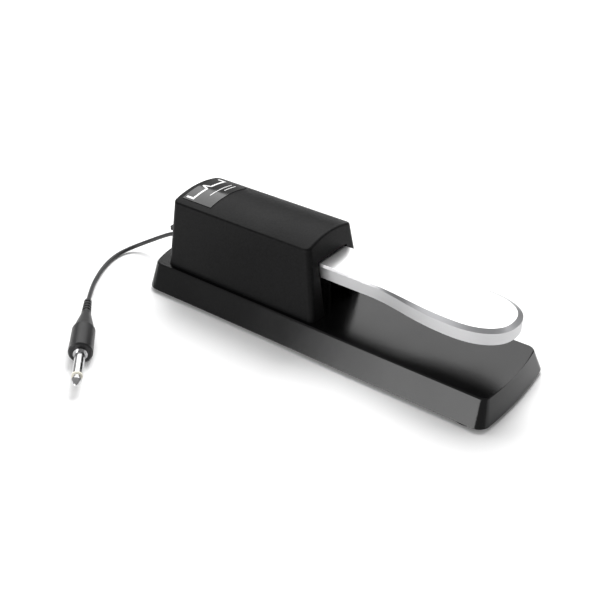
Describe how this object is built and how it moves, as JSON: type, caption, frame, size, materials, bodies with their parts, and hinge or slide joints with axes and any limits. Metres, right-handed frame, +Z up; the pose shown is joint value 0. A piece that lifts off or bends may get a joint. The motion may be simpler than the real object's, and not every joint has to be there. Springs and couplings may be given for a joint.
{
  "type": "sustain pedal",
  "caption": "Piano-style sustain pedal: a polished metal foot lever in a black housing on a long base, with a short cord and phone plug.",
  "frame": {"origin": "centre of the base's footprint on the floor, between the rubber feet; the cord and plug are left out of it", "axes": "+X along the lever towards its tip, +Y across the base towards the player's right, +Z up"},
  "size_m": [0.2999, 0.1829, 0.0668],
  "materials": {
    "black_plastic": "fine grained black ABS",
    "gloss_label": "gloss black",
    "polished_metal": "polished top, satin sides",
    "steel": "zinc plated steel",
    "nylon": "natural nylon",
    "rubber": "black rubber",
    "felt": "dark felt",
    "cord_sheath": "flexible black sheath",
    "brass": "plain"
  },
  "bodies": {
    "housing": {"base_tray": "black_plastic", "bottom_plate": "steel", "plate_screws": "steel", "foot_front_left": "rubber", "foot_front_right": "rubber", "foot_rear_left": "rubber", "foot_rear_right": "rubber", "top_cover": "black_plastic", "cover_screws": "steel", "label_plate": "gloss_label", "pivot_pin": "steel", "retaining_clips": "steel", "pivot_bracket": "steel", "bracket_screws": "steel", "return_spring": "steel", "spring_seat": "nylon", "down_stop_pad": "rubber", "up_stop_felt": "felt", "switch_body": "black_plastic", "switch_terminals": "brass", "switch_screws": "steel", "polarity_switch": "steel", "polarity_terminals": "brass", "polarity_screws": "steel", "cord_grommet": "rubber", "inner_cord": "cord_sheath", "cord_clamp": "black_plastic", "clamp_screws": "steel", "inner_wires": "cord_sheath", "cord": "cord_sheath", "plug_strain_relief": "rubber", "plug_barrel": "rubber", "plug_sleeve": "steel", "plug_insulator": "nylon", "plug_tip": "steel"},
    "pedal": {"pedal_lever": "polished_metal", "pivot_bush_left": "nylon", "pivot_bush_right": "nylon"},
    "leaf": {"switch_leaf": "steel"},
    "plunger": {"switch_plunger": "nylon"},
    "polarity_knob": {"polarity_slider": "black_plastic"}
  },
  "joints": [
    {"name": "pedal_hinge", "type": "hinge", "parent": "housing", "child": "pedal", "pos_m": [-0.084, 0, 0.0467], "axis": [0, 1, 0], "range_deg": [0, 5.5], "stiffness_Nm_per_rad": 15.6, "springref_deg": -5.5, "deforming": ["return_spring"]},
    {"name": "leaf_hinge", "type": "hinge", "parent": "housing", "child": "leaf", "pos_m": [-0.062, 0, 0.0356], "axis": [0, 1, 0], "range_deg": [0, 10.3]},
    {"name": "plunger_slide", "type": "slide", "parent": "housing", "child": "plunger", "axis": [0, 0, -1], "range_m": [0, 0.0012]},
    {"name": "polarity_slide", "type": "slide", "parent": "housing", "child": "polarity_knob", "axis": [0, 0, 1], "range_m": [0, 0.003]}
  ],
  "couplings": [
    {"joint": "leaf_hinge", "follows": "pedal_hinge", "ratio": 1.85},
    {"joint": "plunger_slide", "follows": "pedal_hinge", "m_per_rad": 0.01198}
  ]
}
